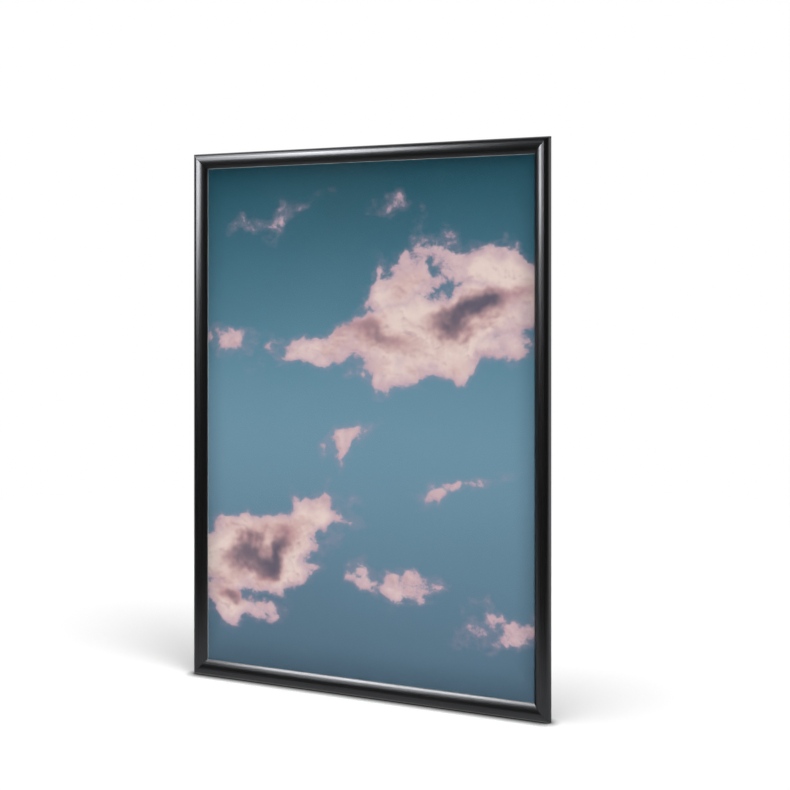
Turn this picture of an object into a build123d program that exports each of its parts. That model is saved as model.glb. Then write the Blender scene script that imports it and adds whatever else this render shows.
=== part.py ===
from build123d import *
import math
import os

# Poster frame with four flip-up rails, portrait, in millimetres
# X runs across the frame, +Z is up, the picture faces -Y and Y = 0 is the wall plane
# The origin is the middle of the four wall screws
# Rail sections are drawn in u, inward from the outer edge, and v, out from the wall

# Poster size and the profile that frames it
poster_width = 594
poster_height = 841
rail_width = 25
rail_depth = 12
poster_overlap = 10

# Sheets between the rails
back_panel_t = 1.0
poster_t = 0.2
cover_t = 0.5
sheet_oversize = 0.5
sheet_clearance = 0.3

# Base profile
floor_t = 1.2
stem_wall = 1.0
rib_wall = 1.0
channel_lip_v = 3.2
channel_lip_t = 0.8
channel_lip_reach = 1.0
edge_lip_wall = 1.0
edge_lip_clearance = 0.2

# Hinge between the base bead and the snap rail's rolled edge
hinge_v = 4.0
bead_r = 1.1
hinge_gap = 0.15
roll_wall = 1.0
roll_start_angle = 15
roll_end_angle = 195
opening_angle = 90
stem_clearance_angle = 7
stem_clearance = 0.15

# Snap rail
skin_wall = 1.2
lip_face_height = 1.0
lip_edge_r = 0.4
lip_foot_width = 1.2
shelf_v = 6.7
shelf_t = 0.7
shelf_reach = 2.2
mitre_gap = 0.3
corner_relief_clearance = 0.25

# Spring clips
clip_t = 0.4
clip_width = 24
clip_bend_u = 8.5
clip_end_clearance = 0.2
clip_window_width = 10
clip_window_reach = 4.5
clip_inset = 150
clips_per_short_rail = 2
clips_per_long_rail = 3

# Corner keys and their grub screws
key_t = 1.8
key_arm = 42
key_side_clearance = 0.15
key_screw_r = 2.0
key_screw_length = 3.0
key_screw_from_end = 9
key_thread_clearance = 0.05
key_socket_across_flats = 2.0
key_socket_depth = 1.2

# Wall screw holes
wall_hole_r = 2.25
wall_hole_inset = 110
wall_hole_access_r = 4.0

# Sizes that follow from the ones above
outer_width = poster_width + 2 * (rail_width - poster_overlap)
outer_height = poster_height + 2 * (rail_width - poster_overlap)
roll_inner_r = bead_r + hinge_gap
roll_outer_r = roll_inner_r + roll_wall
hinge_u = roll_outer_r
shoulder_r = rail_depth - hinge_v
crest_u = shoulder_r
cover_front_v = floor_t + back_panel_t + poster_t + cover_t
slope_drop = rail_depth - cover_front_v - lip_face_height
slope_run = rail_width - crest_u
slope_r = (slope_run**2 + slope_drop**2) / (2 * slope_drop)
sheet_edge_u = rail_width - poster_overlap - sheet_oversize
rib_inner_u = sheet_edge_u - sheet_clearance
channel_end_u = rib_inner_u - rib_wall
channel_top_v = channel_lip_v + channel_lip_t
open_roll_angle = roll_end_angle + opening_angle
stem_angle = open_roll_angle + stem_clearance_angle
stem_u = hinge_u + (roll_outer_r + stem_clearance) * math.cos(math.radians(stem_angle))
channel_start_u = stem_u + stem_wall
channel_mid_u = (channel_start_u + channel_end_u) / 2

hinge = (hinge_u, hinge_v)
shoulder = (crest_u, hinge_v)
slope = (crest_u, rail_depth - slope_r)

# Each side's outer middle point, its inward direction and its outer length
sides = {
    "top": ((0, 0, outer_height / 2), (0, 0, -1), outer_width),
    "bottom": ((0, 0, -outer_height / 2), (0, 0, 1), outer_width),
    "left": ((-outer_width / 2, 0, 0), (1, 0, 0), outer_height),
    "right": ((outer_width / 2, 0, 0), (-1, 0, 0), outer_height),
}


def polar(centre, radius, angle):
    """The point at an angle in degrees on a circle in the section."""
    turn = math.radians(angle)
    return (centre[0] + radius * math.cos(turn), centre[1] + radius * math.sin(turn))


def arc(centre, radius, start_angle, end_angle):
    """A section arc through its middle angle."""
    middle = (start_angle + end_angle) / 2
    return ThreePointArc(*[polar(centre, radius, a) for a in (start_angle, middle, end_angle)])


def section_box(u_start, u_end, v_start, v_end):
    """A filled rectangle in the section."""
    corners = [(u_start, v_start), (u_end, v_start), (u_end, v_end), (u_start, v_end)]
    return make_face(Polyline(*corners, close=True))


def on_side(side, shape):
    """Moves a shape from the section's u, v and along-rail axes to its side of the frame."""
    origin, inward, _ = sides[side]
    along = Vector(*inward).cross(Vector(0, -1, 0))
    return Plane(origin=origin, x_dir=inward, z_dir=along).location * shape


def mitred(section, outer_length, end_gap):
    """Extrudes a section along the rail and cuts both ends at 45 degrees."""
    half_outer = outer_length / 2 - end_gap
    half_inner = half_outer - rail_width
    outline = Polyline(
        (0, -half_outer), (0, half_outer), (rail_width, half_inner), (rail_width, -half_inner), close=True
    )
    rail = extrude(section, amount=outer_length / 2, both=True)
    return rail & extrude(Plane.XZ * make_face(outline), amount=rail_depth, both=True)


def base_section():
    """Floor, hinge bead on its stem, key channel with two lips, and the rib beside the sheets."""
    edge_lip_v = hinge_v - roll_outer_r - edge_lip_clearance
    stem_foot = polar(hinge, roll_outer_r + stem_clearance, stem_angle)
    stem = Polyline(
        hinge, stem_foot, (stem_u, 0), (channel_start_u, 0), (channel_start_u, channel_top_v), close=True
    )
    section = section_box(0, rail_width, 0, floor_t)
    section += section_box(0, edge_lip_wall, 0, edge_lip_v)
    section += make_face(stem)
    section += Pos(*hinge) * Circle(bead_r)
    section += section_box(stem_u, channel_start_u + channel_lip_reach, channel_lip_v, channel_top_v)
    section += section_box(channel_end_u, rib_inner_u, 0, channel_top_v)
    section += section_box(channel_end_u - channel_lip_reach, rib_inner_u, channel_lip_v, channel_top_v)
    return section


def wall_hole():
    """A wall screw's hole through the floor, with room for its head between the channel lips."""
    through = Cylinder(wall_hole_r, 4 * floor_t)
    head_room = Cylinder(wall_hole_access_r, rail_depth, align=(Align.CENTER, Align.CENTER, Align.MIN))
    return Rot(-90, 0, 0) * (through + Pos(0, 0, floor_t) * head_room)


def base_rail(side):
    """One mitred base profile; the top and bottom ones carry the wall screw holes."""
    length = sides[side][2]
    rail = mitred(base_section(), length, 0)
    if side in ("top", "bottom"):
        for end in (-1, 1):
            rail -= Pos(channel_mid_u, 0, end * (length / 2 - wall_hole_inset)) * wall_hole()
    return on_side(side, rail)


def snap_section():
    """Convex cover from the rolled hinge edge over the crest to the foot on the cover sheet."""
    lip_angle = math.degrees(math.asin((slope_r - slope_drop) / slope_r))
    foot_u = rail_width - lip_foot_width
    foot_angle = math.degrees(math.acos((foot_u - crest_u) / (slope_r - skin_wall)))
    shoulder_gap = crest_u - hinge_u
    shoulder_inner_r = shoulder_r - skin_wall
    meet = (roll_outer_r**2 + shoulder_gap**2 - shoulder_inner_r**2) / (2 * roll_outer_r * shoulder_gap)
    meet_angle = math.degrees(math.acos(meet))
    foot_top = polar(slope, slope_r - skin_wall, foot_angle)
    outline = [
        arc(hinge, roll_outer_r, roll_end_angle, 180),
        arc(shoulder, shoulder_r, 180, 90),
        arc(slope, slope_r, 90, lip_angle),
        Line((rail_width, cover_front_v + lip_face_height), (rail_width, cover_front_v)),
        Line((rail_width, cover_front_v), (foot_u, cover_front_v)),
        Line((foot_u, cover_front_v), foot_top),
        arc(slope, slope_r - skin_wall, foot_angle, 90),
        arc(shoulder, shoulder_inner_r, 90, 180 - shoulder_turn(meet_angle)),
        arc(hinge, roll_outer_r, meet_angle, roll_start_angle),
        Line(polar(hinge, roll_outer_r, roll_start_angle), polar(hinge, roll_inner_r, roll_start_angle)),
        arc(hinge, roll_inner_r, roll_start_angle, roll_end_angle),
        Line(polar(hinge, roll_inner_r, roll_end_angle), polar(hinge, roll_outer_r, roll_end_angle)),
    ]
    section = make_face(Curve() + outline)
    lip_corner = section.vertices().sort_by_distance((rail_width, cover_front_v + lip_face_height, 0))[0]
    return fillet(lip_corner, lip_edge_r) + spring_shelf()


def shoulder_turn(meet_angle):
    """How far round the shoulder's inner arc the roll meets it, from the outer face."""
    u, v = polar(hinge, roll_outer_r, meet_angle)
    return math.degrees(math.atan2(v - hinge_v, crest_u - u))


def shelf_root_u():
    """Where the underside of the spring shelf leaves the skin, at the middle of the wall."""
    middle_r = shoulder_r - skin_wall / 2
    return crest_u - math.sqrt(middle_r**2 - (shelf_v - hinge_v) ** 2)


def spring_shelf():
    """The shelf inside the snap rail that the spring clips pull on."""
    root = shelf_root_u()
    return section_box(root, root + shelf_reach + skin_wall / 2, shelf_v, shelf_v + shelf_t)


def corner_relief():
    """What the roll's outer end gives up so that two neighbouring rails can stand open."""
    reach = polar(hinge, roll_outer_r, open_roll_angle)[0] + corner_relief_clearance
    below = hinge_v - 2 * roll_outer_r
    outline = Polyline(
        (-hinge_u, below), (hinge_u, below), hinge, (-hinge_u, hinge_v + 2 * hinge_u), close=True
    )
    return extrude(make_face(outline), amount=reach, both=True)


def snap_rail(side):
    """One flip-up rail, closed, with mitred ends and relieved hinge ends."""
    length = sides[side][2]
    rail = mitred(snap_section(), length, mitre_gap / math.sqrt(2))
    for end in (-1, 1):
        rail -= Pos(0, 0, end * length / 2) * corner_relief()
    return on_side(side, rail)


def spring_clip():
    """A flat steel strip bent into a U, hooked under the channel lip and over the shelf."""
    low_v = channel_lip_v - clip_t / 2
    high_v = shelf_v + shelf_t + clip_t / 2
    bend_r = (high_v - low_v) / 2
    bend_centre = (clip_bend_u, (high_v + low_v) / 2)
    skin_inner_r = shoulder_r - skin_wall
    high_start_u = crest_u - math.sqrt(skin_inner_r**2 - (high_v + clip_t / 2 - hinge_v) ** 2)
    low_start_u = channel_start_u + clip_end_clearance
    section = section_box(low_start_u, clip_bend_u, low_v - clip_t / 2, low_v + clip_t / 2)
    section += section_box(
        high_start_u + clip_end_clearance, clip_bend_u, high_v - clip_t / 2, high_v + clip_t / 2
    )
    bend = Circle(bend_r + clip_t / 2) - Circle(bend_r - clip_t / 2)
    section += Pos(*bend_centre) * bend & section_box(clip_bend_u, rail_width, 0, rail_depth)
    strip = extrude(section, amount=clip_width / 2, both=True)
    window = Box(clip_window_reach, rail_depth, clip_window_width)
    return strip - Pos(clip_bend_u + bend_r, bend_centre[1], 0) * window


def spring_clips(side):
    """The spring clips of one rail, evenly spaced between its ends."""
    length = sides[side][2]
    count = clips_per_long_rail if side in ("left", "right") else clips_per_short_rail
    span = length - 2 * clip_inset
    clips = [Pos(0, 0, span * (n / (count - 1) - 0.5)) * spring_clip() for n in range(count)]
    return Compound([on_side(side, clip) for clip in clips])


def key_screw_places():
    """Where the two grub screws stand on a corner key, from the frame's outer corner."""
    reach = channel_start_u + key_side_clearance + key_arm - key_screw_from_end
    return [(reach, channel_mid_u), (channel_mid_u, reach)]


def at_corner(x_sign, z_sign, shape):
    """Turns a shape drawn from the lower left outer corner to one of the four corners."""
    turns = {(-1, -1): 0, (-1, 1): 90, (1, 1): 180, (1, -1): 270}
    turned = Rot(0, turns[(x_sign, z_sign)], 0) * shape
    return Pos(x_sign * outer_width / 2, 0, z_sign * outer_height / 2) * turned


def facing_front(shape, v):
    """Stands a shape drawn in X and Y up in the frame, with its base v in front of the wall."""
    return Pos(0, -v, 0) * Rot(90, 0, 0) * shape


def corner_key(x_sign, z_sign):
    """An L of flat steel in the channels of two base rails, held up against their lips."""
    low = channel_start_u + key_side_clearance
    high = channel_end_u - key_side_clearance
    end = low + key_arm
    outline = Polyline((low, low), (end, low), (end, high), (high, high), (high, end), (low, end), close=True)
    plate = extrude(make_face(outline), amount=key_t)
    for place in key_screw_places():
        plate -= Pos(*place, 0) * Cylinder(key_screw_r + key_thread_clearance, 4 * key_t)
    return at_corner(x_sign, z_sign, facing_front(plate, channel_lip_v - key_t))


def grub_screw():
    """A grub screw with a hexagon socket in its front end."""
    body = extrude(Circle(key_screw_r), amount=key_screw_length)
    socket = RegularPolygon(key_socket_across_flats / 2, 6, major_radius=False)
    return body - Pos(0, 0, key_screw_length - key_socket_depth) * extrude(socket, amount=key_screw_length)


def grub_screws():
    """Two grub screws in each corner key, standing on the floors of the base rails."""
    screws = []
    for x_sign, z_sign in corner_signs.values():
        for place in key_screw_places():
            standing = facing_front(Pos(*place, 0) * grub_screw(), floor_t)
            screws.append(at_corner(x_sign, z_sign, standing))
    return Compound(screws)


def sheet(width, height, thickness, v):
    """A flat sheet whose back face is v in front of the wall."""
    return Pos(0, -v - thickness / 2, 0) * Box(width, thickness, height)


corner_signs = {
    "top_left": (-1, 1),
    "top_right": (1, 1),
    "bottom_left": (-1, -1),
    "bottom_right": (1, -1),
}

clear_width = poster_width + 2 * sheet_oversize
clear_height = poster_height + 2 * sheet_oversize

nodes = {
    "back_panel": sheet(clear_width, clear_height, back_panel_t, floor_t),
    "poster_print": sheet(poster_width, poster_height, poster_t, floor_t + back_panel_t),
    "cover_sheet": sheet(clear_width, clear_height, cover_t, cover_front_v - cover_t),
    "key_grub_screws": grub_screws(),
}
for side in sides:
    nodes[f"base_rail_{side}"] = base_rail(side)
    nodes[f"snap_rail_{side}"] = snap_rail(side)
    nodes[f"spring_clips_{side}"] = spring_clips(side)
for corner, signs in corner_signs.items():
    nodes[f"corner_key_{corner}"] = corner_key(*signs)

os.makedirs("parts", exist_ok=True)
for name, shape in nodes.items():
    export_step(shape, f"parts/{name}.step")
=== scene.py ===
import math
import bmesh
import bpy
from mathutils import Matrix, Vector

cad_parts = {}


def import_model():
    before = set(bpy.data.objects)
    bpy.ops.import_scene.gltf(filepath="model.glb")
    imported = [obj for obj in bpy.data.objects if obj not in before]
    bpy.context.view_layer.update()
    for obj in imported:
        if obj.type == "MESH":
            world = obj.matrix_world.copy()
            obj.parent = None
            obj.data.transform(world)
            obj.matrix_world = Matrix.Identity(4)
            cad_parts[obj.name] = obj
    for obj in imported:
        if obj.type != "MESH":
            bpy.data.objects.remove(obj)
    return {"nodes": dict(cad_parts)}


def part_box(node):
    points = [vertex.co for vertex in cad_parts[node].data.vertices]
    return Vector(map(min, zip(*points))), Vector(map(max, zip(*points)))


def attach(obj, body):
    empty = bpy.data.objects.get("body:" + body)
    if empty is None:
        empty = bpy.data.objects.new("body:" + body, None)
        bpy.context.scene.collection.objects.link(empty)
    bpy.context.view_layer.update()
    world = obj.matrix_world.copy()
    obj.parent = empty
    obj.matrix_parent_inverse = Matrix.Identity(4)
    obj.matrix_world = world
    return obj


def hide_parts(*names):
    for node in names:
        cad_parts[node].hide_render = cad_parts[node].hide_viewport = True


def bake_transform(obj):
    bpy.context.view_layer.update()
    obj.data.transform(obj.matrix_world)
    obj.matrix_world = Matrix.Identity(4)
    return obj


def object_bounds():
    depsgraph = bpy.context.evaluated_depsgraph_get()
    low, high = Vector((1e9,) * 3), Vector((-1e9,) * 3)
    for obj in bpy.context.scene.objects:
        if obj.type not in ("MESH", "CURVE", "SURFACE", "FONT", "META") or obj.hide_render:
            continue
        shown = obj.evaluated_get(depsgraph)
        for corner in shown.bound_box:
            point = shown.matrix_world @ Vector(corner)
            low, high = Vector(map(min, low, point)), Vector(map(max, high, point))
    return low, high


# Looks of the poster frame, in metres, in the CAD frame: the picture faces -Y and +Z is up

# The photograph's frame and what its outlines give, in pixels
IMAGE_SIDE = 790
FOCAL_PIXELS = 1319
HORIZON_ROW = 295

# The camera's sensor in millimetres, its place, and its level heading, turned from +Y towards -X
SENSOR = 36.0
CAMERA_PLACE = (0.917, -1.88, 0.1995)
CAMERA_HEADING = math.radians(24.6)

# Print size, its unprinted margin, a hair wider than what the rails cover, and the margin's blur
PRINT_WIDTH = 0.594
PRINT_HEIGHT = 0.841
PRINT_MARGIN = 0.0103
MARGIN_BLUR = 0.0001

# The air between the cover sheet and the print, and how far the sheet's edges are softened
COVER_AIR = 0.00004
COVER_EDGE = 0.00012

# Spring clips: bent strips with a window cut in the bend, and softened edges where they are sharp
CLIP_THICKNESS = 0.0004
CLIP_WIDTH = 0.024
CLIP_WINDOW = 0.01
CLIP_EDGE = 0.00006
CLIP_SHARP = math.radians(60)

# Their form in a rail's section: inward from its outer edge and out from the wall
CLIP_BEND = (0.0085, 0.0053)
CLIP_BEND_RADIUS = 0.0025
CLIP_BEND_STEPS = 18
CLIP_LOWER_START = 0.00436
CLIP_UPPER_START = 0.00257

# Where the clips sit along the rails
CLIP_PLACES = {
    "top": (-0.162, 0.162),
    "bottom": (-0.162, 0.162),
    "left": (-0.2855, 0.0, 0.2855),
    "right": (-0.2855, 0.0, 0.2855),
}

# Edges of the pieces made here are shaded sharp from this angle
SHARP_ANGLE = math.radians(40)

# The floor's half side, its tone, and the little light of its own that the camera sees
FLOOR_HALF = 15.0
FLOOR_TONE = 0.75
FLOOR_ROUGHNESS = 0.9
FLOOR_GLOW = 0.03

# Where the floor fades to plain white, by distance from the frame's middle
FLOOR_FADE = (0.9, 2.4)

# The floor as gloss sees it, where 1 is white: dim far in front and brighter near the frame, and
# as much again behind it, each coming in between two depths
GLOSS_DIM = 0.06
GLOSS_NEAR = 0.45
GLOSS_FRONT = (-0.6, -0.1)
GLOSS_BEHIND = (0.0, 0.6)

# How far the opened bottom rail reaches from the wall, where it dips below the floor
OPEN_REACH = 0.03

# Painted contact shadow where the frame meets the floor, seen by the camera only: its reach, its
# strength as a power, samples
CONTACT_REACH = 0.018
CONTACT_POWER = 3.0
CONTACT_SAMPLES = 12

# The studio, where 1 is white: its even light, and for gloss its dim front, which turns white
# behind the frame between two values of a direction's Y
AMBIENT = 0.25
STUDIO_DIM = 0.06
STUDIO_RISE = (-0.1, 0.35)

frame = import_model()
cad_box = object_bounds()
floor_level = cad_box[0][2]


def srgb(red, green, blue):
    """A colour given as 0 to 255 display values, as the linear colour that shaders use."""
    values = [v / 255 for v in (red, green, blue)]
    linear = [v / 12.92 if v <= 0.04045 else ((v + 0.055) / 1.055) ** 2.4 for v in values]
    return (*linear, 1.0)


def grey(level):
    """A neutral linear colour."""
    return (level, level, level, 1.0)


# The sky's colours, from the top of the print to its foot, and how far they swell up and down
SKY_STOPS = [
    (0.0, srgb(15, 70, 85)),
    (0.25, srgb(75, 125, 145)),
    (0.5, srgb(120, 160, 180)),
    (0.75, srgb(105, 140, 160)),
    (1.0, srgb(85, 110, 130)),
]
SKY_SWELL = 0.16

# Colours of the clouds, of the haze around them, of the painted shade that the rails cast on the
# print's rim, and of the print's margin
CREAM = srgb(238, 217, 209)
PALE_PINK = srgb(208, 178, 188)
ROSE = srgb(206, 164, 164)
LIT_SIDE = srgb(246, 228, 220)
SHADED_SIDE = srgb(178, 138, 156)
HOLLOW_RIM = srgb(190, 142, 146)
HOLLOW = srgb(84, 86, 106)
HAZE = srgb(180, 158, 182)
PAINTED_RAIL_SHADE = srgb(15, 40, 50)
BARE_PAPER = srgb(238, 237, 233)

# Where clouds gather: middle and radii in shares of the print, turn in degrees, weight
CLOUD_BANKS = [
    ((0.2, 0.17), (0.56, 0.15), 10, 1.1),
    ((0.36, 0.27), (0.34, 0.13), -20, 1.0),
    ((0.08, 0.25), (0.26, 0.1), 25, 0.9),
    ((-0.16, 0.12), (0.34, 0.07), 6, 0.8),
    ((-0.4, 0.16), (0.2, 0.06), -12, 0.6),
    ((-0.34, -0.27), (0.46, 0.13), 14, 1.1),
    ((-0.14, -0.2), (0.26, 0.12), 40, 0.95),
    ((-0.44, -0.37), (0.26, 0.1), -8, 0.9),
    ((0.1, -0.3), (0.3, 0.06), 4, 0.66),
    ((0.3, -0.1), (0.24, 0.06), 16, 0.6),
    ((0.42, -0.36), (0.28, 0.07), -10, 0.72),
    ((-0.28, 0.38), (0.26, 0.08), 22, 0.56),
    ((0.1, 0.41), (0.2, 0.06), -16, 0.5),
    ((-0.02, -0.03), (0.18, 0.05), 30, 0.5),
]

# Soft dark hollows in the clouds, in the same terms, with their depth
CLOUD_HOLLOWS = [
    ((0.3, 0.2), (0.18, 0.045), 12, 1.0),
    ((0.05, 0.16), (0.2, 0.035), -8, 0.65),
    ((-0.3, -0.26), (0.17, 0.045), 20, 0.95),
    ((-0.42, -0.36), (0.12, 0.035), 0, 0.7),
]

# The clouds' density over which haze, clouds and their bright cores come in
HAZE_DENSITY = (0.3, 0.7)
CLOUD_DENSITY = (0.52, 0.66)
CORE_DENSITY = (0.58, 1.0)

# The step towards the light over which the clouds' relief is taken
LIGHT_STEP = (0.003, 0, 0.005)

# Where painted shade from the rails darkens the picture towards its rim, in shares of the print from
# its middle
RAIL_SHADE_REACH = (0.42, 0.5)


class Nodes:
    """A node tree, with short calls for the kinds used here."""

    def __init__(self, tree):
        self.tree = tree

    def node(self, kind, inputs=None, **settings):
        """A new node with its settings, and its inputs by name or number."""
        made = self.tree.nodes.new(kind)
        for name, value in settings.items():
            setattr(made, name, value)
        for name, value in (inputs or {}).items():
            self.feed(made.inputs[name], value)
        return made

    def feed(self, socket, value):
        """Gives an input a fixed value, or links it to an output."""
        if isinstance(value, bpy.types.NodeSocket):
            self.tree.links.new(value, socket)
        else:
            socket.default_value = value

    def maths(self, operation, first, second=0.0):
        return self.node("ShaderNodeMath", {0: first, 1: second}, operation=operation).outputs[0]

    def step(self, value, between, ends=(0.0, 1.0)):
        """Smoothly from the first end to the second as value goes between two values."""
        low, high = between
        start, end = ends
        inputs = {"Value": value, "From Min": low, "From Max": high, "To Min": start, "To Max": end}
        return self.node("ShaderNodeMapRange", inputs, interpolation_type="SMOOTHSTEP").outputs[0]

    def blend(self, share, first, second):
        """A number from first to second by a share."""
        return self.node("ShaderNodeMix", {"Factor": share, 2: first, 3: second}).outputs[0]

    def ray_is(self, *kinds):
        """1 for rays of the named kinds, and 0 for others."""
        path = self.node("ShaderNodeLightPath")
        found, *others = [path.outputs[f"Is {kind} Ray"] for kind in kinds]
        for other in others:
            found = self.maths("MAXIMUM", found, other)
        return found


class Shader(Nodes):
    """A material's nodes."""

    def __init__(self, name):
        self.material = bpy.data.materials.new(name)
        self.material.use_nodes = True
        super().__init__(self.material.node_tree)
        self.surface = self.tree.nodes["Principled BSDF"]

    def set(self, **values):
        """Feeds the surface's inputs, named with underscores for spaces."""
        for name, value in values.items():
            self.feed(self.surface.inputs[name.replace("_", " ")], value)

    def place(self, scale=(1, 1, 1), offset=(0, 0, 0), turn=(0, 0, 0)):
        """Coordinates in metres that ride with the piece, scaled after a shift and a turn."""
        source = self.node("ShaderNodeTexCoord").outputs["Object"]
        moved = self.node("ShaderNodeMapping", {"Vector": source, "Location": [-v for v in offset]})
        inputs = {"Vector": moved.outputs[0], "Rotation": turn, "Scale": scale}
        return self.node("ShaderNodeMapping", inputs).outputs[0]

    def split(self, vector):
        """The sockets of a vector's three parts, by axis letter."""
        return self.node("ShaderNodeSeparateXYZ", {"Vector": vector}).outputs

    def length(self, vector):
        return self.node("ShaderNodeVectorMath", {0: vector}, operation="LENGTH").outputs["Value"]

    def noise(self, vector, scale, detail, roughness, distortion=0.0):
        inputs = {
            "Vector": vector, "Scale": scale, "Detail": detail,
            "Roughness": roughness, "Distortion": distortion,
        }
        return self.node("ShaderNodeTexNoise", inputs).outputs[0]

    def mix(self, share, under, over):
        """One colour over another by a share."""
        inputs = {"Factor": share, 6: under, 7: over}
        return self.node("ShaderNodeMix", inputs, data_type="RGBA").outputs[2]

    def tint(self, under, over, value, between, most=1.0):
        """One colour over another, up to a share, as value goes between two values."""
        return self.mix(self.step(value, between, (0.0, most)), under, over)

    def ramp(self, value, stops):
        made = self.node("ShaderNodeValToRGB", {"Fac": value})
        made.color_ramp.interpolation = "B_SPLINE"
        while len(made.color_ramp.elements) < len(stops):
            made.color_ramp.elements.new(1.0)
        for element, (position, colour) in zip(made.color_ramp.elements, stops):
            element.position = position
            element.color = colour
        return made.outputs[0]

    def bump(self, height, depth, strength=1.0):
        inputs = {"Height": height, "Distance": depth, "Strength": strength}
        return self.node("ShaderNodeBump", inputs).outputs[0]

    def emit(self, strength):
        """A surface that shines white by itself."""
        return self.node("ShaderNodeEmission", {"Color": grey(1.0), "Strength": strength}).outputs[0]

    def layer(self, share, under, over):
        """One surface over another by a share."""
        return self.node("ShaderNodeMixShader", {0: share, 1: under, 2: over}).outputs[0]


def drawn_out(axis, scale):
    """A scale that draws a texture out along one axis."""
    return tuple(scale if index == axis else 1 for index in range(3))


def black_profile(name, along):
    """Black satin anodised aluminium with fine extrusion lines along the rail."""
    shader = Shader(name)
    lines = shader.noise(shader.place(drawn_out(along, 0.004)), scale=2600, detail=3, roughness=0.6)
    bands = shader.noise(shader.place(drawn_out(along, 0.02)), scale=420, detail=2, roughness=0.5)
    grain = shader.noise(shader.place(), scale=5200, detail=2, roughness=0.5)
    tone = shader.step(shader.maths("ADD", lines, bands), (0.7, 1.3))
    lines_share = shader.maths("MULTIPLY", lines, 0.7)
    grain_share = shader.maths("MULTIPLY", grain, 0.3)
    shader.set(
        Base_Color=shader.mix(tone, (0.078, 0.079, 0.083, 1), (0.098, 0.1, 0.106, 1)),
        Metallic=0.98,
        Roughness=shader.step(lines, (0.3, 0.7), (0.26, 0.33)),
        Normal=shader.bump(shader.maths("ADD", lines_share, grain_share), depth=0.0000025),
    )
    return shader.material


def spring_steel():
    """Bright rolled strip with fine roll lines and faint blueing."""
    shader = Shader("spring_steel")
    lines = shader.noise(shader.place((1, 1, 0.03)), scale=3000, detail=3, roughness=0.6)
    cloud = shader.noise(shader.place(), scale=60, detail=3, roughness=0.5)
    shader.set(
        Base_Color=shader.mix(cloud, (0.36, 0.37, 0.4, 1), (0.5, 0.5, 0.51, 1)),
        Metallic=1.0,
        Roughness=shader.step(lines, (0.3, 0.7), (0.24, 0.38)),
        Normal=shader.bump(lines, depth=0.000004),
    )
    return shader.material


def zinc_steel():
    """Zinc plated flat steel, matte with a faint spangle."""
    shader = Shader("zinc_steel")
    cells = shader.node("ShaderNodeTexVoronoi", {"Vector": shader.place(), "Scale": 420})
    spangle = shader.node("ShaderNodeRGBToBW", {"Color": cells.outputs["Color"]}).outputs[0]
    cloud = shader.noise(shader.place(), scale=90, detail=4, roughness=0.6)
    tone = shader.maths("MULTIPLY", spangle, cloud)
    shader.set(
        Base_Color=shader.mix(tone, (0.46, 0.47, 0.49, 1), (0.66, 0.67, 0.68, 1)),
        Metallic=1.0,
        Roughness=shader.step(spangle, (0, 1), (0.38, 0.52)),
        Normal=shader.bump(cloud, depth=0.00003),
    )
    return shader.material


def black_steel():
    """Black oxide screws, a little shiny where they are worn."""
    shader = Shader("black_steel")
    wear = shader.noise(shader.place(), scale=700, detail=4, roughness=0.6)
    shader.set(
        Base_Color=shader.tint((0.03, 0.03, 0.034, 1), (0.12, 0.12, 0.125, 1), wear, (0.5, 0.8)),
        Metallic=0.9,
        Roughness=shader.step(wear, (0.3, 0.8), (0.5, 0.3)),
    )
    return shader.material


def back_board():
    """Light grey polystyrene sheet with a fine leather-like grain and faint scuffs."""
    shader = Shader("back_board")
    inputs = {"Vector": shader.place(), "Scale": 900}
    grain = shader.node("ShaderNodeTexVoronoi", inputs, feature="SMOOTH_F1").outputs["Distance"]
    cloud = shader.noise(shader.place(), scale=9, detail=4, roughness=0.6)
    slanted = shader.place((1, 1, 0.06), turn=(0, 0.5, 0))
    scratches = shader.noise(slanted, scale=160, detail=3, roughness=0.7)
    scuffs = shader.step(scratches, (0.66, 0.78))
    colour = shader.mix(cloud, srgb(214, 215, 217), srgb(224, 225, 227))
    shader.set(
        Base_Color=shader.mix(shader.maths("MULTIPLY", scuffs, 0.25), colour, srgb(196, 197, 200)),
        Roughness=shader.step(scuffs, (0, 1), (0.5, 0.38)),
        Normal=shader.bump(grain, depth=0.00006, strength=0.6),
    )
    return shader.material


def clear_cover():
    """Clear sheet with a fine anti-glare face."""
    shader = Shader("clear_cover")
    haze = shader.noise(shader.place(), scale=2500, detail=2, roughness=0.5)
    shader.set(
        Base_Color=(0.3, 0.32, 0.33, 1),
        Alpha=0.01,
        Roughness=shader.step(haze, (0.3, 0.7), (0.22, 0.3)),
    )
    return shader.material


def soft_patch(shader, point, centre, size, turn):
    """A soft ellipse on the print: 1 at its middle and 0 from its rim outward."""
    inputs = {
        "Vector": point,
        "Location": (centre[0] * PRINT_WIDTH, 0, centre[1] * PRINT_HEIGHT),
        "Rotation": (0, math.radians(-turn), 0),
        "Scale": (size[0] * PRINT_WIDTH, 1, size[1] * PRINT_HEIGHT),
    }
    placed = shader.node("ShaderNodeMapping", inputs, vector_type="TEXTURE").outputs[0]
    return shader.step(shader.length(placed), (1.0, 0.0))


def strongest_patch(shader, point, patches):
    """The greatest of several weighted soft patches."""
    strongest = 0.0
    for centre, size, turn, weight in patches:
        patch = shader.maths("MULTIPLY", soft_patch(shader, point, centre, size, turn), weight)
        strongest = shader.maths("MAXIMUM", strongest, patch)
    return strongest


def bent(shader, point, scale, detail, reach):
    """A point pushed about by soft noise, so that round patches lose their outline."""
    inputs = {"Vector": point, "Scale": scale, "Detail": detail, "Roughness": 0.55}
    colour = shader.node("ShaderNodeTexNoise", inputs).outputs["Color"]
    inputs = {0: colour, 1: (0.5, 0.5, 0.5)}
    push = shader.node("ShaderNodeVectorMath", inputs, operation="SUBTRACT").outputs[0]
    inputs = {0: push, 1: reach, 2: point}
    return shader.node("ShaderNodeVectorMath", inputs, operation="MULTIPLY_ADD").outputs[0]


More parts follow.
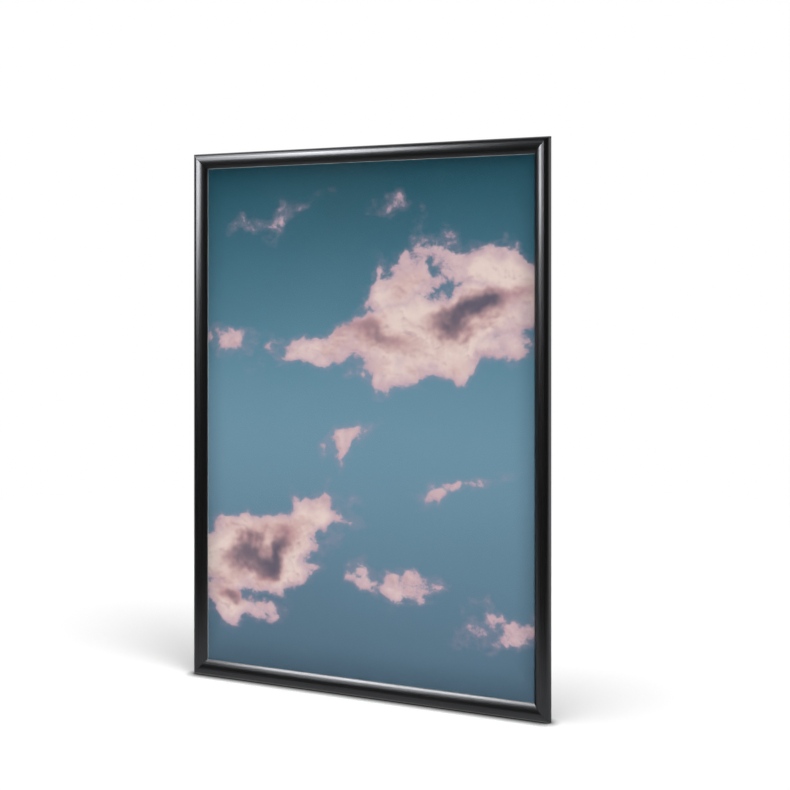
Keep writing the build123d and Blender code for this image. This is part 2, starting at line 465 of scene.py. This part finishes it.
def billows(shader, offset=(0, 0, 0)):
    """Cloud billows with finely torn rims, about 0 on average."""
    flat = shader.place((1, 0, 1.25), offset)
    point = bent(shader, flat, scale=9, detail=3, reach=(0.05, 0.05, 0.05))
    fine = shader.noise(point, scale=13, detail=12, roughness=0.64)
    torn = shader.maths("MULTIPLY", shader.maths("SUBTRACT", fine, 0.5), 1.5)
    inputs = {"Vector": point, "Scale": 22.0, "Detail": 5.0, "Roughness": 0.62}
    cells = shader.node("ShaderNodeTexVoronoi", inputs, feature="F1", normalize=True)
    rounded = shader.maths("SUBTRACT", 0.45, cells.outputs["Distance"])
    return shader.maths("ADD", torn, shader.maths("MULTIPLY", rounded, 0.5))


def sky(shader, point, up):
    """Evening sky: deep teal above, pale blue in the middle, dusk grey-blue below."""
    downward = shader.maths("SUBTRACT", 0.5 - SKY_SWELL / 2, up)
    soft = shader.noise(point, scale=2.2, detail=2, roughness=0.5)
    level = shader.maths("ADD", downward, shader.maths("MULTIPLY", soft, SKY_SWELL))
    return shader.ramp(level, SKY_STOPS)


def clouds(shader, sky_colour, point):
    """Cream and pink clouds with mauve hollows, laid over the sky."""
    banks = strongest_patch(shader, point, CLOUD_BANKS)
    hollows = strongest_patch(shader, point, CLOUD_HOLLOWS)
    density = shader.maths("ADD", banks, billows(shader))
    towards_light = shader.maths("ADD", banks, billows(shader, LIGHT_STEP))
    relief = shader.maths("SUBTRACT", density, towards_light)
    core = shader.step(density, CORE_DENSITY)
    flat = shader.place((1, 0, 1.6), (0.12, 0, 0.31))
    folds = shader.noise(flat, scale=11, detail=5, roughness=0.5, distortion=0.3)
    blush = shader.maths("MULTIPLY", core, shader.step(folds, (0.44, 0.66), (0.0, 0.75)))
    colour = shader.mix(blush, shader.mix(core, PALE_PINK, CREAM), ROSE)
    colour = shader.tint(colour, SHADED_SIDE, relief, (0.0, 0.16), most=0.4)
    colour = shader.tint(colour, LIT_SIDE, relief, (0.0, -0.16), most=0.35)
    colour = shader.tint(colour, HOLLOW_RIM, hollows, (0.0, 0.6), most=0.75)
    colour = shader.tint(colour, HOLLOW, hollows, (0.3, 1.0), most=0.9)
    hazy_sky = shader.tint(sky_colour, HAZE, density, HAZE_DENSITY, most=0.4)
    return shader.tint(hazy_sky, colour, density, CLOUD_DENSITY)


def in_margin(shader, place, length):
    """1 in the unprinted margin at both ends of a length, and 0 on the picture."""
    start = length / 2 - PRINT_MARGIN
    return shader.step(shader.maths("ABSOLUTE", place), (start - MARGIN_BLUR, start))


def print_paper():
    """Printed paper: an evening sky with drifting pink clouds inside a white margin, darkened towards
    its rim by painted rail shade.
    """
    shader = Shader("print_paper")
    point = shader.place()
    parts = shader.split(point)
    across = shader.maths("DIVIDE", parts["X"], PRINT_WIDTH)
    up = shader.maths("DIVIDE", parts["Z"], PRINT_HEIGHT)
    drifting = bent(shader, point, scale=7.5, detail=4, reach=(0.22, 0, 0.18))
    picture = clouds(shader, sky(shader, point, up), drifting)
    rim = shader.maths("MAXIMUM", shader.maths("ABSOLUTE", across), shader.maths("ABSOLUTE", up))
    # Painted shade: the picture darkens towards its rim, standing in for the rails' shadow
    picture = shader.tint(picture, PAINTED_RAIL_SHADE, rim, RAIL_SHADE_REACH, most=0.3)
    beside = in_margin(shader, parts["X"], PRINT_WIDTH)
    above = in_margin(shader, parts["Z"], PRINT_HEIGHT)
    fibres = shader.noise(point, scale=3500, detail=3, roughness=0.6)
    shader.set(
        Base_Color=shader.mix(shader.maths("MAXIMUM", beside, above), picture, BARE_PAPER),
        Roughness=shader.step(fibres, (0.3, 0.7), (0.55, 0.65)),
        Specular_IOR_Level=0.0,
        Normal=shader.bump(fibres, depth=0.00001),
    )
    return shader.material


def floor_as_seen(shader, matte, place):
    """What the camera sees of the floor: pale near the frame, and plain white far away."""
    near = shader.node("ShaderNodeAddShader", {0: matte, 1: shader.emit(FLOOR_GLOW)}).outputs[0]
    return shader.layer(shader.step(shader.length(place), FLOOR_FADE), near, shader.emit(1.0))


def floor_as_mirrored(shader, depth):
    """What gloss sees of the floor: it fades out in front of the frame."""
    front = shader.step(depth, GLOSS_FRONT, (GLOSS_DIM, GLOSS_NEAR))
    behind = shader.step(depth, GLOSS_BEHIND, (0.0, GLOSS_NEAR))
    return shader.emit(shader.maths("ADD", front, behind))


def under_open_rail(shader, parts):
    """1 on the strip of floor where the opened bottom rail dips through, and 0 elsewhere."""
    across = shader.maths("ABSOLUTE", parts["X"])
    depth = shader.maths("ABSOLUTE", shader.maths("ADD", parts["Y"], OPEN_REACH / 2))
    inside = shader.maths("LESS_THAN", across, cad_box[1][0])
    return shader.maths("MULTIPLY", inside, shader.maths("LESS_THAN", depth, OPEN_REACH / 2))


def with_clear_strip(shader, surface, parts):
    """The floor, clear to look through where the opened bottom rail dips below it."""
    through = shader.ray_is("Camera", "Transmission", "Shadow")
    share = shader.maths("MULTIPLY", through, under_open_rail(shader, parts))
    clear = shader.node("ShaderNodeBsdfTransparent").outputs[0]
    return shader.layer(share, surface, clear)


def with_painted_contact_shadow(shader, surface):
    """The floor, with a painted contact shadow from occlusion, seen only by the camera along what
    stands on it.
    """
    inputs = {"Distance": CONTACT_REACH}
    around = shader.node("ShaderNodeAmbientOcclusion", inputs, samples=CONTACT_SAMPLES)
    bright = shader.maths("POWER", around.outputs["AO"], CONTACT_POWER)
    unseen = shader.maths("SUBTRACT", 1.0, shader.ray_is("Camera"))
    return shader.layer(shader.maths("MAXIMUM", bright, unseen), shader.emit(0.0), surface)


def floor_white():
    """The floor's surface: matte, with a look of its own for the camera and for gloss."""
    shader = Shader("floor_white")
    shader.set(Base_Color=grey(FLOOR_TONE), Roughness=FLOOR_ROUGHNESS, Specular_IOR_Level=0.0)
    matte = shader.surface.outputs[0]
    place = shader.place()
    parts = shader.split(place)
    seen = floor_as_seen(shader, matte, place)
    surface = shader.layer(shader.ray_is("Camera", "Transmission"), matte, seen)
    surface = shader.layer(shader.ray_is("Glossy"), surface, floor_as_mirrored(shader, parts["Y"]))
    surface = with_painted_contact_shadow(shader, with_clear_strip(shader, surface, parts))
    shader.feed(shader.tree.nodes["Material Output"].inputs["Surface"], surface)
    return shader.material


def put_in_scene(name, data):
    """An object with this data, in the scene."""
    made = bpy.data.objects.new(name, data)
    bpy.context.scene.collection.objects.link(made)
    return made


def floor():
    """A plain pale floor that keeps the frame's shadow."""
    reach = FLOOR_HALF
    corners = [(-reach, -reach), (reach, -reach), (reach, reach), (-reach, reach)]
    mesh = bpy.data.meshes.new("floor")
    mesh.from_pydata([(x, y, floor_level) for x, y in corners], [], [(0, 1, 2, 3)])
    mesh.materials.append(floor_white())
    put_in_scene("floor", mesh)


def world():
    """White behind the frame, a dim studio in front of it, and soft even light."""
    made = bpy.data.worlds.new("studio")
    made.use_nodes = True
    bpy.context.scene.world = made
    nodes = Nodes(made.node_tree)
    direction = nodes.node("ShaderNodeTexCoord").outputs["Generated"]
    depth = nodes.node("ShaderNodeSeparateXYZ", {"Vector": direction}).outputs["Y"]
    mirrored = nodes.step(depth, STUDIO_RISE, (STUDIO_DIM, 1.0))
    lighting = nodes.blend(nodes.ray_is("Glossy"), AMBIENT, mirrored)
    strength = nodes.blend(nodes.ray_is("Camera", "Transmission"), lighting, 1.0)
    background = made.node_tree.nodes["Background"]
    nodes.feed(background.inputs["Color"], grey(1.0))
    nodes.feed(background.inputs["Strength"], strength)


def hang_lamp(lamp, place, target, roll=0.0):
    """Puts a lamp in the scene, facing a target and rolled about its own axis by degrees."""
    holder = put_in_scene(lamp.name, lamp)
    aim = (Vector(target) - Vector(place)).to_track_quat("-Z", "Y").to_matrix().to_4x4()
    rolled = Matrix.Rotation(math.radians(roll), 4, "Z")
    holder.matrix_world = Matrix.Translation(place) @ aim @ rolled
    return holder


def gridded_softbox(name, place, target, size, radiance, spread, roll=0.0):
    """A lamp for highlights: radiant along its axis, and dark at half its spread in degrees."""
    half = math.radians(spread) / 2
    width, height = size
    lamp = bpy.data.lights.new(name, "AREA")
    lamp.shape = "RECTANGLE"
    lamp.size = width
    lamp.size_y = height
    lamp.spread = 2 * half
    lamp.energy = radiance * math.pi * width * height * (math.tan(half) - half) / math.tan(half)
    holder = hang_lamp(lamp, place, target, roll)
    holder.visible_diffuse = False
    holder.visible_camera = False


def soft_sun(name, azimuth, elevation, softness, share):
    """Even soft light, placed in degrees: alone it would show white facing it at this share."""
    turn = math.radians(azimuth)
    rise = math.radians(elevation)
    lamp = bpy.data.lights.new(name, "SUN")
    lamp.energy = math.pi * share
    lamp.angle = math.radians(softness)
    place = (math.sin(turn) * math.cos(rise), -math.cos(turn) * math.cos(rise), math.sin(rise))
    holder = hang_lamp(lamp, place, (0, 0, 0))
    holder.visible_glossy = False


def lamps():
    """Lamps that only give highlights, and suns that give none."""
    gridded_softbox(
        "key_light", place=(-0.4, -0.75, 0.6), target=(0, 0, 0.5),
        size=(0.27, 0.5), radiance=15.0, spread=90,
    )
    gridded_softbox(
        "top_light", place=(-0.66, -0.75, 0.68), target=(-0.2, 0, 0.45),
        size=(0.36, 0.85), radiance=11.5, spread=60,
    )
    gridded_softbox(
        "crest_light", place=(-0.78, -0.55, 1.22), target=(-0.21, -0.04, 0.43),
        size=(0.4, 0.5), radiance=7.0, spread=40,
    )
    gridded_softbox(
        "rim_light", place=(-0.295, -0.28, 0.37), target=(0.085, -0.015, -0.41),
        size=(0.72, 0.34), radiance=13.3, spread=50, roll=51,
    )
    soft_sun("left_sun", azimuth=-36, elevation=75, softness=26, share=0.57)
    soft_sun("right_sun", azimuth=64, elevation=56, softness=28, share=0.68)


def camera():
    """The photograph's camera: level, with its frame shifted down to the picture."""
    lens = bpy.data.cameras.new("camera")
    lens.sensor_width = SENSOR
    lens.lens = FOCAL_PIXELS / IMAGE_SIDE * SENSOR
    lens.shift_y = (HORIZON_ROW - IMAGE_SIDE / 2) / IMAGE_SIDE
    holder = put_in_scene("camera", lens)
    turn = Matrix.Rotation(CAMERA_HEADING, 4, "Z") @ Matrix.Rotation(math.radians(90), 4, "X")
    holder.matrix_world = Matrix.Translation(CAMERA_PLACE) @ turn
    bpy.context.scene.camera = holder


def dress(material, *names):
    """Gives CAD nodes a material."""
    for name in names:
        mesh = frame["nodes"][name].data
        mesh.materials.clear()
        mesh.materials.append(material)


def soften(body, edges, width):
    """Rounds edges of a bmesh over."""
    bmesh.ops.bevel(body, geom=edges, offset=width, segments=2, affect="EDGES", profile=0.5)


def finished(name, body, material):
    """Turns a bmesh into a smooth shaded object with one material."""
    mesh = bpy.data.meshes.new(name)
    bmesh.ops.recalc_face_normals(body, faces=body.faces)
    body.to_mesh(mesh)
    body.free()
    mesh.polygons.foreach_set("use_smooth", [True] * len(mesh.polygons))
    mesh.set_sharp_from_angle(angle=SHARP_ANGLE)
    mesh.materials.append(material)
    return put_in_scene(name, mesh)


def cover_piece(material):
    """The clear sheet with softened edges, a hair of air in front of the print."""
    low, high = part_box("cover_sheet")
    high = (high[0], high[1] - COVER_AIR, high[2])
    middle = [(first + last) / 2 for first, last in zip(low, high)]
    size = [last - first for first, last in zip(low, high)]
    body = bmesh.new()
    placed = Matrix.Translation(middle) @ Matrix.Diagonal((*size, 1))
    bmesh.ops.create_cube(body, size=1.0, matrix=placed)
    soften(body, body.edges[:], COVER_EDGE)
    piece = finished("cover_sheet_clear", body, material)
    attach(piece, "frame_base")
    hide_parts("cover_sheet")


def rail_point(side, inward, out, along):
    """A point by its place in a rail's section and along the rail."""
    half_width, _, half_height = cad_box[1]
    sign = 1 if side in ("top", "right") else -1
    if side in ("left", "right"):
        return Vector((sign * (half_width - inward), -out, along))
    return Vector((along, -out, sign * (half_height - inward)))


def clip_path(radius):
    """One face of a bent clip in the rail's section, from the lower arm round to the upper arm."""
    bend_in, bend_out = CLIP_BEND
    turns = [math.pi * (step / CLIP_BEND_STEPS - 0.5) for step in range(CLIP_BEND_STEPS + 1)]
    bend = [(bend_in + radius * math.cos(turn), bend_out + radius * math.sin(turn)) for turn in turns]
    return [(CLIP_LOWER_START, bend_out - radius), *bend, (CLIP_UPPER_START, bend_out + radius)]


def clip_skin(body, side, middle, radius):
    """One side of a clip, with a window in its bend: its vertices in rows, and its faces."""
    edge, gap = CLIP_WIDTH / 2, CLIP_WINDOW / 2
    stations = [middle + shift for shift in (-edge, -gap, gap, edge)]
    rows = [
        [body.verts.new(rail_point(side, *place, station)) for station in stations]
        for place in clip_path(radius)
    ]
    faces = []
    for index, (row, after) in enumerate(zip(rows, rows[1:])):
        in_bend = 0 < index < len(rows) - 2
        columns = (0, 2) if in_bend else (0, 1, 2)
        for left in columns:
            right = left + 1
            faces.append(body.faces.new((row[left], after[left], after[right], row[right])))
    return rows, faces


def add_clip(body, side, middle):
    """Adds one bent strip: its outer and inner side, joined all along their rims."""
    outer_rows, outer_faces = clip_skin(body, side, middle, CLIP_BEND_RADIUS)
    inner_rows, _ = clip_skin(body, side, middle, CLIP_BEND_RADIUS - CLIP_THICKNESS)
    mates = {}
    for outer_row, inner_row in zip(outer_rows, inner_rows):
        mates.update(zip(outer_row, inner_row))
    rims = [edge for face in outer_faces for edge in face.edges if len(edge.link_faces) == 1]
    for edge in rims:
        first, second = edge.verts
        body.faces.new((first, second, mates[second], mates[first]))


def clip_piece(side, material):
    """A rail's spring clips, made as one bent piece."""
    body = bmesh.new()
    for middle in CLIP_PLACES[side]:
        add_clip(body, side, middle)
    bmesh.ops.recalc_face_normals(body, faces=body.faces)
    sharp = [edge for edge in body.edges if edge.calc_face_angle(0.0) > CLIP_SHARP]
    soften(body, sharp, CLIP_EDGE)
    piece = finished(f"spring_clips_{side}_bent", body, material)
    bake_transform(piece)
    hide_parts(f"spring_clips_{side}")


across_profile = black_profile("black_profile_across", along=0)
upright_profile = black_profile("black_profile_upright", along=2)
for side in ("top", "bottom"):
    dress(across_profile, f"base_rail_{side}", f"snap_rail_{side}")
for side in ("left", "right"):
    dress(upright_profile, f"base_rail_{side}", f"snap_rail_{side}")
strip_steel = spring_steel()
for side in CLIP_PLACES:
    clip_piece(side, strip_steel)
keys = [f"corner_key_{level}_{side}" for level in ("top", "bottom") for side in ("left", "right")]
dress(zinc_steel(), *keys)
dress(black_steel(), "key_grub_screws")
dress(back_board(), "back_panel")
dress(print_paper(), "poster_print")
cover_piece(clear_cover())

floor()
world()
lamps()
camera()
bpy.context.scene.view_settings.view_transform = "Standard"
